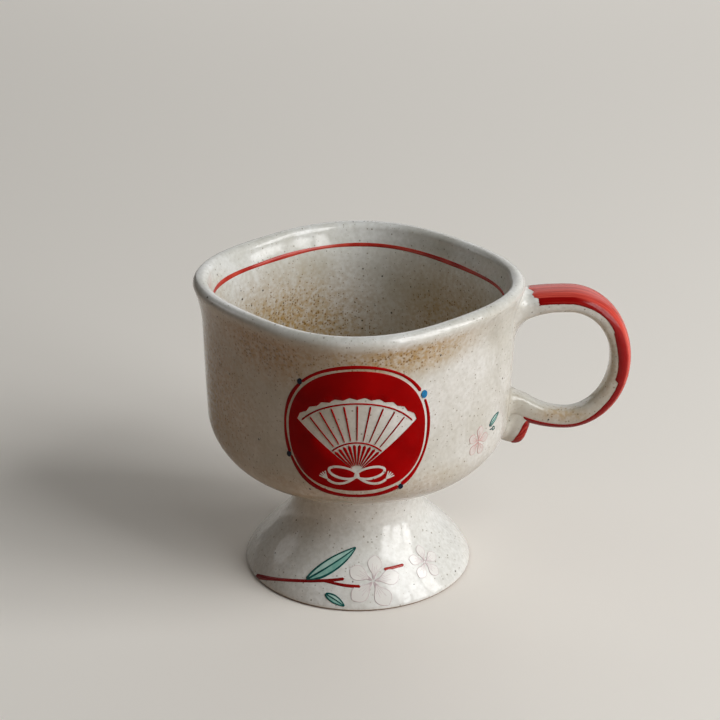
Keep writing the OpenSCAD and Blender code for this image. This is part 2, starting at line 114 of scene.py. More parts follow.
def arc(centre, radius, start, end, steps):
    turns = [radians(mix(start, end, i / steps)) for i in range(steps + 1)]
    return [(centre[0] + radius * cos(t), centre[1] + radius * sin(t)) for t in turns]


def heights(start, end, steps):
    return [mix(start, end, i / steps) for i in range(1, steps + 1)]


def spun(profile, steps, closed=False):
    """A profile of (radius, height) points turned once round the axis, as on the wheel."""
    mesh = bmesh.new()
    points = [mesh.verts.new((r, 0, z)) for r, z in profile]
    follow = points[1:] + points[:1] if closed else points[1:]
    lines = [mesh.edges.new(pair) for pair in zip(points, follow)]
    bmesh.ops.spin(mesh, geom=points + lines, axis=(0, 0, 1), angle=tau, steps=steps,
                   use_merge=True)
    return mesh


weld, crease = 0.0004, radians(40)
hand_size, hand_depth, level_h = 24, 0.16, 4
noise.seed_set(5)


def add_piece(mesh, name, *finishes):
    """Closes a mesh, gives it the small unevenness of handwork, which fades at the table, keeps it
    in the box of the solids and makes it an object."""
    bmesh.ops.remove_doubles(mesh, verts=mesh.verts, dist=weld)
    bmesh.ops.recalc_face_normals(mesh, faces=mesh.faces)
    if mesh.calc_volume(signed=True) < 0:
        bmesh.ops.reverse_faces(mesh, faces=mesh.faces)
    for v in mesh.verts:
        v.co += noise.noise_vector(v.co / hand_size) * hand_depth * ramp(v.co.z, 0, level_h)
        v.co = [min(max(c, low / MM), high / MM) for c, low, high in zip(v.co, *cad_box)]
    for edge in mesh.edges:
        edge.smooth = edge.calc_face_angle(0) < crease
    for face in mesh.faces:
        face.smooth = True
    bmesh.ops.scale(mesh, vec=(MM, MM, MM), verts=mesh.verts)
    data = bpy.data.meshes.new(name)
    mesh.to_mesh(data)
    mesh.free()
    for finish in finishes:
        data.materials.append(finish)
    piece = bpy.data.objects.new(name, data)
    scene.collection.objects.link(piece)
    return piece


floor_steps, wall_steps, base_steps, bowl_steps = 6, 24, 4, 160
inner_turn_steps, turn_steps = 16, 18
inside = [(0, floor_z), (floor_r / 2, floor_z)]
for i in range(floor_steps):
    share = i / floor_steps
    inside.append((mix(floor_r, inner_turn_in, share), mix(floor_z, floor_z + dish, share ** 2)))
inside += arc((inner_turn_in, inner_top), inner_turn_r, -90, 0, inner_turn_steps)
inside += [(outer_r(z) - wall_t, z) for z in heights(inner_top, lip_z, wall_steps)]
lip = arc((mouth_r - lip_r, lip_z), lip_r, 180, 0, turn_steps)[1:]
outside = [(outer_r(z), z) for z in heights(lip_z, turn_top, wall_steps)]
outside += arc((turn_in, turn_top), turn_r, 0, -90, turn_steps)[1:]
for share in heights(0, 1, base_steps):
    outside.append((mix(turn_in, neck_r, share), mix(turn_top - turn_r, bowl_z, share)))
outside += [(neck_r / 2, bowl_z), (0, bowl_z)]
bowl_mesh = spun(inside + lip + outside, bowl_steps)
for v in bowl_mesh.verts:
    corner_r = v.co.xy.length
    if corner_r > 0:
        v.co.xy *= plan_r(corner_r, v.co.z, atan2(v.co.y, v.co.x)) / corner_r


def srgb(code):
    """Linear colour of an sRGB hex code."""
    parts = [int(code[i:i + 2], 16) / 255 for i in (1, 3, 5)]
    return (*[p / 12.92 if p <= 0.04045 else ((p + 0.055) / 1.055) ** 2.4 for p in parts], 1)


def shade(tree, kind, sockets=None, **settings):
    """Adds a node with its settings, sets or links its sockets by name or number, and gives its
    outputs. Map Range has its value at 0 and its two ranges at 1 to 4. Mix has its amount at 0 and
    its colours at 6 and 7."""
    node = tree.nodes.new("ShaderNode" + kind)
    for key, value in settings.items():
        setattr(node, key, value)
    for key, value in (sockets or {}).items():
        if isinstance(value, bpy.types.NodeSocket):
            tree.links.new(value, node.inputs[key])
        else:
            node.inputs[key].default_value = value
    return node.outputs


def new_finish(name):
    """An empty material and its node tree."""
    finish = bpy.data.materials.new(name)
    finish.use_nodes = True
    finish.node_tree.nodes.clear()
    return finish, finish.node_tree


# Speckled stoneware glaze: a glassy, slightly milky coat. It gives clear reflections that waver
# with the clay under it, cloudy whites, fine grey-brown specks and a few black-brown iron spots.
glaze, tree = new_finish("speckled_stoneware_glaze")
cloud_mm, patch_mm, ripple_mm, ripple_depth = 20, 1.3, 9, 0.5
metres = shade(tree, "TexCoord")["Object"]
place = shade(tree, "Mapping", {"Vector": metres, "Scale": (1 / MM, 1 / MM, 1 / MM)})[0]
height = shade(tree, "SeparateXYZ", {0: place})["Z"]
clouds = shade(tree, "TexNoise", {"Vector": place, "Scale": 1 / cloud_mm, "Detail": 4})[0]
clouds = shade(tree, "MapRange", {0: clouds, 1: 0.36, 2: 0.64, 3: 0.0, 4: 1.0})[0]
patches = shade(tree, "TexNoise", {"Vector": place, "Scale": 1 / patch_mm, "Detail": 3})[0]
patches = shade(tree, "MapRange", {0: patches, 1: 0.35, 2: 0.65, 3: 0.0, 4: 1.0})[0]

# Where the fire toasted the glaze golden brown, and where painted warm shade browns and darkens it:
# middle, half sizes and strength of each zone
toast_and_shade_zones = [
    ((16, -46, 89), (48, 30, 10), 0.85),
    # Under the lip at the front left: toast, deepened with painted shade
    ((-26, -38, 87), (38, 32, 15), 0.9),
    # Inside at the left: toast, spread wider as painted warm shade over the inside
    ((-22, 24, 58), (54, 50, 38), 1.0),
    # Inside at the back right: browner and darker
    ((26, 20, 64), (42, 42, 36), 0.7),
    # Under the bowl at the front: browner and darker
    ((0, -36, 46), (46, 20, 8), 0.45),
    # Low on the handle and at the loop's right, where its inner face lies in shade: painted shade
    ((63, -3, 52), (14, 6, 4), 0.6),
    ((74, 0, 72), (20, 10, 26), 0.5),
    # The left side, away from the light: painted warm shade
    ((-52, -18, 66), (36, 52, 46), 0.85),
]
toast_and_shade = 0
for middle, half, strength in toast_and_shade_zones:
    local = shade(tree, "Mapping", {"Vector": place, "Location": middle, "Scale": half},
                  vector_type="TEXTURE")[0]
    reach = shade(tree, "VectorMath", {0: local}, operation="LENGTH")["Value"]
    zone = shade(tree, "MapRange", {0: reach, 1: 1.0, 2: 0.1, 3: 0.0, 4: strength},
                 interpolation_type="SMOOTHSTEP")[0]
    toast_and_shade = shade(tree, "Math", {0: zone, 1: toast_and_shade}, operation="MAXIMUM")[0]
# The lip stays pale, because the glaze pools there before the fire
pale_z, toast_and_shade_z = 93.4, 91.0
below_lip = shade(tree, "MapRange", {0: height, 1: pale_z, 2: toast_and_shade_z, 3: 0.0, 4: 1.0})[0]
toast_and_shade = shade(tree, "Math", {0: toast_and_shade, 1: below_lip}, operation="MULTIPLY")[0]
tan = shade(tree, "MapRange", {0: patches, 3: 0.4, 4: 0.95})[0]
tan = shade(tree, "Math", {0: toast_and_shade, 1: tan}, operation="MULTIPLY")[0]
mottle = shade(tree, "MapRange", {0: patches, 3: 0.0, 4: 0.25})[0]

milk, ash = srgb("#DCDDDA"), srgb("#C6C5BC")
coat = shade(tree, "Mix", {0: clouds, 6: milk, 7: ash}, data_type="RGBA")[2]
# Over the foot the glaze is whiter: partly its own tone, and partly painted light on the
# flare that faces up
whiten_from_z, whiten_full_z = 38.0, 30.0
foot_white_and_lit = shade(tree, "MapRange", {0: height, 1: whiten_from_z, 2: whiten_full_z, 3: 0.0, 4: 0.65})[0]
for amount, colour in ((foot_white_and_lit, "#EBEDEB"), (mottle, "#A09D90"), (tan, "#A87E1E")):
    coat = shade(tree, "Mix", {0: amount, 6: coat, 7: srgb(colour)}, data_type="RGBA")[2]

# Layers of specks: size of a cell, the luck it needs to hold a speck and to hold the largest one,
# its radius, soft edge and strength, how much the toast and shade zones help, and its colour
speck_layers = [
    (0.72, 0.68, 1.2, 0.36, 0.18, 0.8, 0.5, "#7C5A24"),
    (1.3, 0.2, 1.0, 0.36, 0.16, 0.75, 0.0, "#756B57"),
    (3.1, 0.5, 1.0, 0.42, 0.14, 0.9, 0.1, "#2E231A"),
]
for cell_mm, need, full, radius, edge, strength, crowding, colour in speck_layers:
    cells = shade(tree, "TexVoronoi", {"Vector": place, "Scale": 1 / cell_mm})
    luck = shade(tree, "SeparateColor", {0: cells["Color"]})[0]
    luck = shade(tree, "Math", {0: toast_and_shade, 1: crowding, 2: luck}, operation="MULTIPLY_ADD")[0]
    size = shade(tree, "MapRange",
                 {0: luck, 1: need, 2: full, 3: 0.0, 4: radius / cell_mm}, clamp=False)[0]
    depth = shade(tree, "Math", {0: size, 1: cells["Distance"]}, operation="SUBTRACT")[0]
    amount = shade(tree, "MapRange", {0: depth, 1: 0.0, 2: edge / cell_mm, 3: 0.0, 4: strength})[0]
    coat = shade(tree, "Mix", {0: amount, 6: coat, 7: srgb(colour)}, data_type="RGBA")[2]
# The lowest edge is wiped, and shows the bare clay
glazed_z, wiped_z = 0.75, 0.45
bare = shade(tree, "MapRange", {0: height, 1: glazed_z, 2: wiped_z, 3: 0.0, 4: 1.0})[0]
coat = shade(tree, "Mix", {0: bare, 6: coat, 7: srgb("#8C6B4C")}, data_type="RGBA")[2]
ripples = shade(tree, "TexNoise", {"Vector": place, "Scale": 1 / ripple_mm, "Detail": 2})[0]
ripple_bump = shade(tree, "Bump",
                    {"Height": ripples, "Strength": 0.7, "Distance": ripple_depth * MM})[0]
gloss = shade(tree, "MapRange", {0: bare, 3: 0.14, 4: 0.7})[0]
shader = shade(tree, "BsdfPrincipled",
               {"Base Color": coat, "Roughness": gloss, "IOR": 1.5, "Normal": ripple_bump})
shade(tree, "OutputMaterial", {0: shader[0]})

bowl = add_piece(bowl_mesh, "bowl_body", glaze)
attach(bowl, "root")
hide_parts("bowl")

# Foot: a hollow bell of the same clay, thrown upside down and trimmed. It stands on a flat ring,
# whose edge is wiped free of glaze, so that a thin line of bare clay shows at the table.
foot_r, foot_t, neck_h, flare_rise, flare_in, sweep_drop = 35.8, 5.6, 10.8, 11, 4.8, 12.5
rest_bevel, hollow_bevel, flare_steps, neck_steps, foot_steps = 0.8, 0.6, 40, 6, 144
neck_z = foot_h - neck_h


def curve(points, t):
    """Smooth curve that the points pull on, mixed pair by pair until one is left."""
    points = [Vector(p) for p in points]
    while len(points) > 1:
        points = [a.lerp(b, t) for a, b in zip(points, points[1:])]
    return points[0]


foot_line = [(foot_r, rest_bevel), (foot_r - flare_in, flare_rise),
             (neck_r, neck_z - sweep_drop), (neck_r, neck_z)]
foot_out = [tuple(curve(foot_line, i / flare_steps)) for i in range(flare_steps + 1)]
foot_out += [(neck_r, z) for z in heights(neck_z, foot_h, neck_steps)]
foot_in = [(r - foot_t, z) for r, z in reversed(foot_out)]
rest = arc((foot_r - foot_t + hollow_bevel, hollow_bevel), hollow_bevel, 180, 270, 4)
rest += arc((foot_r - rest_bevel, rest_bevel), rest_bevel, -90, -8, 5)
foot_mesh = spun(foot_out + foot_in + rest, foot_steps, closed=True)
foot = add_piece(foot_mesh, "foot_bell", glaze)
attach(foot, "root")
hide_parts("foot")

# Neck joint: a bead of slip, brushed into the corner where the foot's neck meets the bowl and
# smoothed with a wet finger, under the same glaze.
bead_r, bead_fill, bead_steps, buried = 6, 0.2, 12, 0.4
bead_low = Vector((neck_r, bowl_z - bead_r))
bead_high = Vector((neck_r + bead_r, bowl_z + bead_r * dish / (turn_in - neck_r)))
bead_corner = Vector((neck_r, bowl_z))
bead_hollow = bead_corner.lerp((bead_low + bead_high) / 2, bead_fill)
bead_line = [bead_low, bead_hollow, bead_high]
bead = [tuple(curve(bead_line, i / bead_steps)) for i in range(bead_steps + 1)]
neck_mesh = spun(bead + [(neck_r - buried, bowl_z + buried)], foot_steps, closed=True)
neck = add_piece(neck_mesh, "neck_slip_bead", glaze)
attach(neck, "root")
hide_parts("neck_slip")

# Handle: a strap of clay, pulled wide at the top and narrower below, bent to a loop and luted to
# the wall at both ends. Its inner face thickens towards the roots.
strap_t, strap_w_top, strap_w_low = 6.2, 13.2, 6.8
handle_reach, handle_drop, loop_h, loop_out = 35.2, 3.2, 46, 15.8
lead_top, lead_low, root_gap = 40, 25.5, 1.4
root_grow_top, root_grow_low, root_zone_top, root_zone_low = 5, 2.0, 11.4, 17.6
outer_power, inner_power, taper_from, taper_to = 2.4, 3.6, 0.12, 0.74
handle_top = cup_h - handle_drop
loop_x, loop_z = wall_top_r + loop_out, handle_top - loop_h / 2
loop_rise, loop_right = (loop_h - strap_t) / 2, handle_reach - strap_t / 2 - loop_out
root_x, upper_root_x = wall_top_r + root_gap, outer_r(handle_top) + root_gap
first_turn = acos((upper_root_x - loop_x) / lead_top)
last_turn = -acos((root_x - loop_x) / lead_low)
strap_step = 0.002


def strap_at(s):
    """Centre line of the strap as (x, z), from the upper root at 0 to the lower root at 1."""
    t = mix(first_turn, last_turn, s)
    lead = loop_right if cos(t) > 0 else lead_top if sin(t) > 0 else lead_low
    return Vector((loop_x + lead * cos(t), loop_z + loop_rise * sin(t)))


def strap_out(s):
    """Direction out of the loop, across the strap."""
    along = (strap_at(s + strap_step) - strap_at(s - strap_step)).normalized()
    return Vector((-along.y, along.x))


def rounded(angle):
    """Unit section across and out of the strap, with a domed outer face and a flatter inner one."""
    power = outer_power if sin(angle) > 0 else inner_power
    return [copysign(abs(v) ** (2 / power), v) for v in (cos(angle), sin(angle))]


def strap_place(s, angle, lift=0):
    """A point on the strap's rounded section. The outer face is at a quarter turn."""
    middle, out = strap_at(s), strap_out(s)
    grow, zone = (root_grow_top, root_zone_top) if s < 0.5 else (root_grow_low, root_zone_low)
    thick = strap_t / 2 + lift
    if sin(angle) < 0:
        thick += grow * min(1, max(0, 1 - (middle.x - wall_top_r) / zone)) ** 2
    half_w = mix(strap_w_top, strap_w_low, ramp(s, taper_from, taper_to)) / 2 + lift
    across, outward = rounded(angle)
    at = middle + out * thick * outward
    return Vector((at.x, half_w * across, at.y))


def on_wall(point, lift=0):
    """The point moved along X onto the bowl's outer wall."""
    r = outer_r(point.z)
    bearing = asin(point.y / r)
    for _ in range(3):
        bearing = asin(point.y / plan_r(r, point.z, bearing))
    return Vector((plan_r(r, point.z, bearing) * cos(bearing) + lift, point.y, point.z))


def lofted(sides, rows, section):
    """A tube drawn out of one ring, with section(row, angle) for each point. Its ends stay open."""
    mesh = bmesh.new()
    turn = mesh.verts.layers.float.new("turn")
    ring = bmesh.ops.create_circle(mesh, segments=sides, radius=1)["verts"]
    edges = mesh.edges[:]
    for v in ring:
        v[turn] = atan2(v.co.y, v.co.x)
    for row in range(rows):
        if row:
            drawn = bmesh.ops.extrude_edge_only(mesh, edges=edges)["geom"]
            ring = [part for part in drawn if isinstance(part, bmesh.types.BMVert)]
            edges = [part for part in drawn if isinstance(part, bmesh.types.BMEdge)]
        for v in ring:
            v.co = section(row, v[turn])
    return mesh


strap_rows, strap_sides, sunk, tuck, under_joint = 110, 40, -0.8, 0.6, 0.97
upper_runs, lower_runs = (0.006, 0.046), (0.006, 0.03)


def joint_run(angle, runs):
    """Share of the strap under a root joint, least on the outer face and most on the inner one."""
    return mix(*runs, ((1 - sin(angle)) / 2) ** 2)


def strap_section(row, angle):
    """The strap starts under its upper joint and ends under its lower one, sunk into the wall."""
    if row in (0, strap_rows):
        return on_wall(strap_place(min(1, row), angle, -tuck), sunk)
    along = min(1, max(0, (row - 2) / (strap_rows - 4)))
    start = under_joint * joint_run(angle, upper_runs)
    end = 1 - under_joint * joint_run(angle, lower_runs)
    return strap_place(mix(start, end, along), angle, -tuck if row in (1, strap_rows - 1) else 0)


handle_mesh = lofted(strap_sides, strap_rows + 1, strap_section)
bmesh.ops.holes_fill(handle_mesh, edges=[e for e in handle_mesh.edges if e.is_boundary])
handle = add_piece(handle_mesh, "handle_strap", glaze)
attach(handle, "root")
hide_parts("handle")

# Root joints: fillets of slip, wiped smooth round both ends of the strap, so that the strap seems
# to grow out of the wall.
fillet_rows, fillet_sides, proud, pull, near_end = 14, 64, 0.02, 0.6, 0.8


def root_joint(root, way, runs, up, beside, down):
    """A fillet round one root, which spreads over the wall above, beside and below it. It leaves
    the strap and the wall along their own slopes."""
    ends = [on_wall(strap_place(root, tau * i / strap_sides)) for i in range(strap_sides)]
    mid_z = (min(p.z for p in ends) + max(p.z for p in ends)) / 2

    def section(row, angle):
        run = root + way * joint_run(angle, runs)
        tip = strap_place(run, angle, proud)
        further = strap_place(run + way * 2 * strap_step, angle, proud)
        corner = on_wall(strap_place(root, angle))
        if row == fillet_rows + 1:
            return corner + Vector((sunk, 0, 0))
        from_mid = Vector((0, corner.y, corner.z - mid_z)).normalized()
        spread = mix(beside, up if from_mid.z > 0 else down, from_mid.z ** 2)
        wall_end = on_wall(corner + from_mid * spread, proud)
        wall_way = (on_wall(corner + from_mid * spread * near_end, proud) - wall_end).normalized()
        strap_way = (tip - further).normalized()
        return curve([tip, tip + strap_way * (corner - tip).length * pull,
                      wall_end + wall_way * spread * pull, wall_end], row / fillet_rows)

    mesh = lofted(fillet_sides, fillet_rows + 2, section)
    bmesh.ops.bridge_loops(mesh, edges=[e for e in mesh.edges if e.is_boundary])
    return mesh


upper_mesh = root_joint(0, 1, upper_runs, up=0.8, beside=2.8, down=7.2)
upper_joint = add_piece(upper_mesh, "upper_root_fillet", glaze)
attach(upper_joint, "root")
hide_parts("upper_slip")
lower_mesh = root_joint(1, -1, lower_runs, up=2.2, beside=2.2, down=0.3)
lower_joint = add_piece(lower_mesh, "lower_root_fillet", glaze)
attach(lower_joint, "root")
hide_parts("lower_slip")

# Curl: the strap's spare end, rolled under the lower root into a small blunt lobe. It is wiped
# flush with the strap's sides and onto the wall, and only its tip meets the strap in a notch.
curl_l, curl_h, curl_gap, curl_blunt, curl_buried, notch_from = 5.2, 8.0, 0.4, 4.6, 2, 0.55
curl_rows, curl_sides, curl_sag, wiped_out, wiped_over = 30, 32, 0.7, 2.0, 2.4
wiped_from, wiped_full = -0.6, 0.3


def curl_share(s):
    """Place along the strap over the curl, which starts at the wall and ends at its tip."""
    turn = -acos((root_x + curl_l * s - loop_x) / lead_low)
    return (turn - first_turn) / (last_turn - first_turn)


def curl_place(s, angle, lift=0):
    """A point on the curl's rounded section, from the wall at 0 to the tip at 1."""
    share = curl_share(s)
    out = strap_out(share)
    swell = max(0, 1 - s ** curl_blunt) ** (1 / curl_blunt)
    high = mix(-curl_buried, strap_t / 2 + curl_gap, ramp(s, notch_from, 1))
    low = strap_t / 2 + curl_gap + (curl_h + curl_sag * (1 - s)) * swell
    across, outward = rounded(angle)
    at = strap_at(share) + out * ((high + low) / 2 + ((low - high) / 2 + lift) * outward)
    half_w = strap_w_low / 2 * swell + lift
    off_wall = max(0, at.x - on_wall(Vector((at.x, half_w * across, at.y))).x)
    wiped = max(0, 1 - off_wall / wiped_over) ** 2
    half_w += wiped_out * wiped * ramp(outward, wiped_from, wiped_full)
    return Vector((at.x, half_w * across, at.y))


def curl_section(row, angle):
    if row == 0:
        return on_wall(curl_place(0, angle), sunk)
    return curl_place(sin(pi / 2 * (row - 1) / (curl_rows - 1)), angle)


curl_mesh = lofted(curl_sides, curl_rows + 1, curl_section)
bmesh.ops.remove_doubles(curl_mesh, verts=curl_mesh.verts, dist=weld)
bmesh.ops.holes_fill(curl_mesh, edges=[e for e in curl_mesh.edges if e.is_boundary])
curl = add_piece(curl_mesh, "handle_curl_lobe", glaze)
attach(curl, "root")
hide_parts("handle_curl")

# Rim line: one turn of a loaded brush with red enamel inside the lip, while the cup spins. The line
# swells and thins with the hand. Its section is spun small, then laid on the wall.
coat_t, edge_t, bed = 0.2, 0.04, 0.05
rim_line_drop, rim_line_w, rim_steps, spin_r = 7, 1.15, 240, 2
rim_swell, swell_waves, rim_sway, sway_waves = 0.45, 2.2, 0.3, 1.4
rim_line_z = cup_h - rim_line_drop
line_across = [(-1, 0.03), (-0.8, 0.6), (-0.3, 0.95), (0.3, 1), (0.8, 0.7), (1, 0.03)]
line_profile = [(spin_r + lift * coat_t, across) for across, lift in line_across]
line_profile += [(spin_r - bed, 1), (spin_r - bed, -1)]
rim_mesh = spun(line_profile, rim_steps, closed=True)
for v in rim_mesh.verts:
    lift, bearing = v.co.xy.length - spin_r, atan2(v.co.y, v.co.x)
    swell = noise.noise(Vector((cos(bearing), sin(bearing), 0.5)) * swell_waves)
    sway = noise.noise(Vector((cos(bearing), sin(bearing), 4)) * sway_waves)
    z = rim_line_z + rim_sway * sway + v.co.z * rim_line_w / 2 * (1 + rim_swell * swell)
    r = plan_r(outer_r(z) - wall_t, z, bearing) - lift
    v.co = (r * cos(bearing), r * sin(bearing), z)

pool_sizes, streak_sizes, enamel_bump, thick_and_shade_mm = (9, 9, 9), (22, 0.9, 1000), 0.08, 6


def red_enamel(name, deep, thin, shine, streaks=None):
    """Overglaze enamel: iron-red glass fired onto the glaze. It is deep where the brush left it
    thick and paler where it ran thin, with a soft gloss. Streaks names an attribute along the
    brush, whose third part, up to thick_and_shade_mm, deepens the coat where it is thick and where
    painted shade darkens the strap's sides."""
    finish, tree = new_finish(name)
    metres = shade(tree, "TexCoord")["Object"]
    if streaks:
        metres = shade(tree, "Attribute", attribute_name=streaks)["Vector"]
    scale = [1 / (MM * size) for size in (streak_sizes if streaks else pool_sizes)]
    place = shade(tree, "Mapping", {"Vector": metres, "Scale": scale})[0]
    pools = shade(tree, "TexNoise", {"Vector": place, "Scale": 1.0, "Detail": 4})[0]
    if streaks:
        thick = shade(tree, "SeparateXYZ", {0: metres})["Z"]
        thick = shade(tree, "MapRange", {0: thick, 1: 0.0, 2: thick_and_shade_mm * MM, 3: 0.1, 4: -0.25})[0]
        pools = shade(tree, "Math", {0: pools, 1: thick}, operation="ADD")[0]
    amount = shade(tree, "MapRange", {0: pools, 1: 0.35, 2: 0.72, 3: 0.0, 4: 1.0})[0]
    colour = shade(tree, "Mix", {0: amount, 6: srgb(deep), 7: srgb(thin)}, data_type="RGBA")[2]
    bump = shade(tree, "Bump", {"Height": pools, "Strength": 0.5, "Distance": enamel_bump * MM})[0]
    gloss = shade(tree, "MapRange", {0: pools, 3: 0.12, 4: 0.34})[0]
    shader = shade(tree, "BsdfPrincipled",
                   {"Base Color": colour, "Roughness": gloss, "IOR": 1.52,
                    "Specular IOR Level": shine, "Normal": bump})
    shade(tree, "OutputMaterial", {0: shader[0]})
    return finish


rim_red = red_enamel("brushed_red_enamel", "#9E1C15", "#C4493A", 0.3)
rim_line = add_piece(rim_mesh, "rim_line_stroke", rim_red)
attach(rim_line, "root")
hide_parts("rim_line")

# Medallion field: a disc of red enamel, printed on the front and fired, with an open folding fan
# and its cord left bare, so that the glaze shows through.
medallion_drop, medallion_turn = 30.6, radians(-88.4)
medallion_z = cup_h - medallion_drop
disc_r, disc_widen, disc_trim, disc_full = 20.4, 0.6, 1.8, 2.5
fan_pivot, fan_r, fan_half, fan_folds = Vector((0, -12)), 24, radians(50), 10
fan_notch, fan_margin, field_sides, far, glancing = 0.7, 0.6, 720, 1000, 0.001
field_rows = [0.0, 0.03, 0.3, 0.6, 0.85, 0.985, 1.0]


def on_bowl(across, up, lift):
    """A place on the bowl's front, measured along the wall from the medallion's middle."""
    z = medallion_z + up
    lean = min(0, (z - turn_top) / turn_r)
    if lean < 0:
        z = turn_top + turn_r * sin(lean)
    bearing = medallion_turn + across / wall_low_r
    r = plan_r(outer_r(z), z, bearing) + lift * cos(lean)
    return Vector((r * cos(bearing), r * sin(bearing), z + lift * sin(lean)))


def soft_round(bearing, wide, up, down, fullness):
    """Distance from the middle to a round outline, which is fuller and flatter below."""
    power, high = (2, up) if sin(bearing) > 0 else (fullness, down)
    across, rise = abs(cos(bearing) / wide), abs(sin(bearing) / high)
    return (across ** power + rise ** power) ** (-1 / power)


def disc_edge(bearing):
    return soft_round(bearing, disc_r + disc_widen, disc_r, disc_r - disc_trim, disc_full)


def fan_reach(bearing):
    """Distance from the disc's middle to the fan's outline, whose top zigzags with the folds."""
    way = Vector((cos(bearing), sin(bearing)))
    reach = far
    for side in (-1, 1):
        guard = Vector((side * cos(fan_half), -sin(fan_half)))
        across = way.dot(guard)
        if across > glancing:
            reach = min(reach, fan_pivot.dot(guard) / across)
    toward = way.dot(fan_pivot)
    to_arc = toward + sqrt(toward ** 2 - fan_pivot.length_squared + fan_r ** 2)
    tip = way * min(reach, to_arc) - fan_pivot
    fold = (atan2(tip.x, tip.y) + fan_half) / (2 * fan_half) * fan_folds
    to_arc -= fan_notch * abs(2 * (fold % 1) - 1)
    return min(reach, to_arc, disc_edge(bearing) - fan_margin)


def fire_on(art, verts, place, base=0, finish=0):
    """Gives a flat stroke a sunk underside and lays it on a glazed surface."""
    faces = list({face for v in verts for face in v.link_faces})
    raised = bmesh.ops.extrude_face_region(art, geom=faces)["geom"]
    tops = [part for part in raised if isinstance(part, bmesh.types.BMVert)]
    for v in verts:
        v.co.z = -bed
    for v in verts + tops:
        v.co = place(v.co.x, v.co.y, v.co.z + base)
    for face in {face for v in verts + tops for face in v.link_faces}:
        face.material_index = finish


def field_section(row, bearing):
    reach = mix(fan_reach(bearing), disc_edge(bearing), field_rows[row])
    lift = edge_t if row in (0, len(field_rows) - 1) else coat_t
    return Vector((reach * cos(bearing), reach * sin(bearing), lift))


field_mesh = lofted(field_sides, len(field_rows), field_section)
fire_on(field_mesh, field_mesh.verts[:], on_bowl)
spine_step, least_end, edge_fall = 0.004, 0.02, 0.85


def path_length(spine, steps):
    return sum((spine((i + 1) / steps) - spine(i / steps)).length for i in range(steps))


def brush_stroke(art, place, spine, width, rows=24, base=0, finish=0, thick=coat_t):
    """Lays one stroke along spine(t), with a width in millimetres at each t and round ends."""
    strip = bmesh.ops.create_grid(art, x_segments=rows, y_segments=4, size=1)["verts"]
    length = path_length(spine, 8)
    for v in strip:
        t, across = (v.co.x + 1) / 2, v.co.y
        way = (spine(t + spine_step) - spine(t - spine_step)).normalized()
        half = width(t) / 2
        to_end = min(1, min(t, 1 - t) * length / half)
        half *= sqrt(max(least_end, 1 - (1 - to_end) ** 2))
        at = spine(t) + Vector((-way.y, way.x)) * half * across
        v.co = (at.x, at.y, thick * (1 - edge_fall * across ** 4))
    fire_on(art, strip, place, base, finish)


# The cord is tied in a bow under the fan's pivot, with two loops and two tails that end in threads.
knot, knot_w, knot_t, cord_w, cord_t, cord_lift = Vector((0, -13)), 1.8, 0.04, 0.8, 0.03, 0.19
loop_l, loop_w, loop_tilt, loop_open = 8.2, 3.6, radians(10), 0.004
tail_spots = [(3, -3.4), (6.6, -3.8), (8.6, -1.7)]
thread_l, thread_swings = 2.6, (-0.5, -0.17, 0.17, 0.5)
loop_rows, tail_rows, thread_rows, knot_rows = 64, 40, 12, 16


def bow_loop(side, t):
    reach = loop_l * (1 - cos(tau * t)) / 2
    rise = loop_w / 2 * sin(tau * t)
    return knot + Vector((side * (reach * cos(loop_tilt) - rise * sin(loop_tilt)),
                          reach * sin(loop_tilt) + rise * cos(loop_tilt)))


for side in (-1, 1):
    tail = [knot] + [knot + Vector((side * across, up)) for across, up in tail_spots]
    strokes = [(lambda t: bow_loop(side, mix(loop_open, 1 - loop_open, t)), cord_w, loop_rows),
               (lambda t: curve(tail, t), cord_w, tail_rows)]
    for swing in thread_swings:
        thread = Matrix.Rotation(swing, 2) @ (tail[-1] - tail[-2]).normalized() * thread_l
        strokes.append((lambda t, thread=thread: tail[-1] + thread * t, cord_w / 2, thread_rows))
    for spine, width, rows in strokes:
        brush_stroke(field_mesh, on_bowl, spine, lambda t: width, rows=rows, base=cord_lift,
                     finish=1, thick=cord_t)
brush_stroke(field_mesh, on_bowl, lambda t: knot + Vector((0, knot_w / 2 - knot_w * t)),
             lambda t: knot_w, rows=knot_rows, base=cord_lift, finish=1, thick=knot_t)
medallion_red = red_enamel("printed_red_enamel", "#8A0001", "#A20305", 0.04)
field = add_piece(field_mesh, "medallion_disc", medallion_red, glaze)
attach(field, "root")
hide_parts("medallion_field")

# Medallion lines: fine red lines that draw the fan's folds, its ribs and the two edges of its leaf.
# They are printed and fired with the disc.
fan_leaf_in, fan_edge, fan_line_w, line_gap = 9.6, 1.9, 0.5, 0.6
rib_in, rib_w_in, rib_w_out, fold_thin, fold_broad = 2.2, 0.3, 1.0, 0.7, 1.1
leaf_out = fan_r - fan_edge
fold = 2 * fan_half / fan_folds


def fan_at(bearing, reach):
    return fan_pivot + reach * Vector((sin(bearing), cos(bearing)))


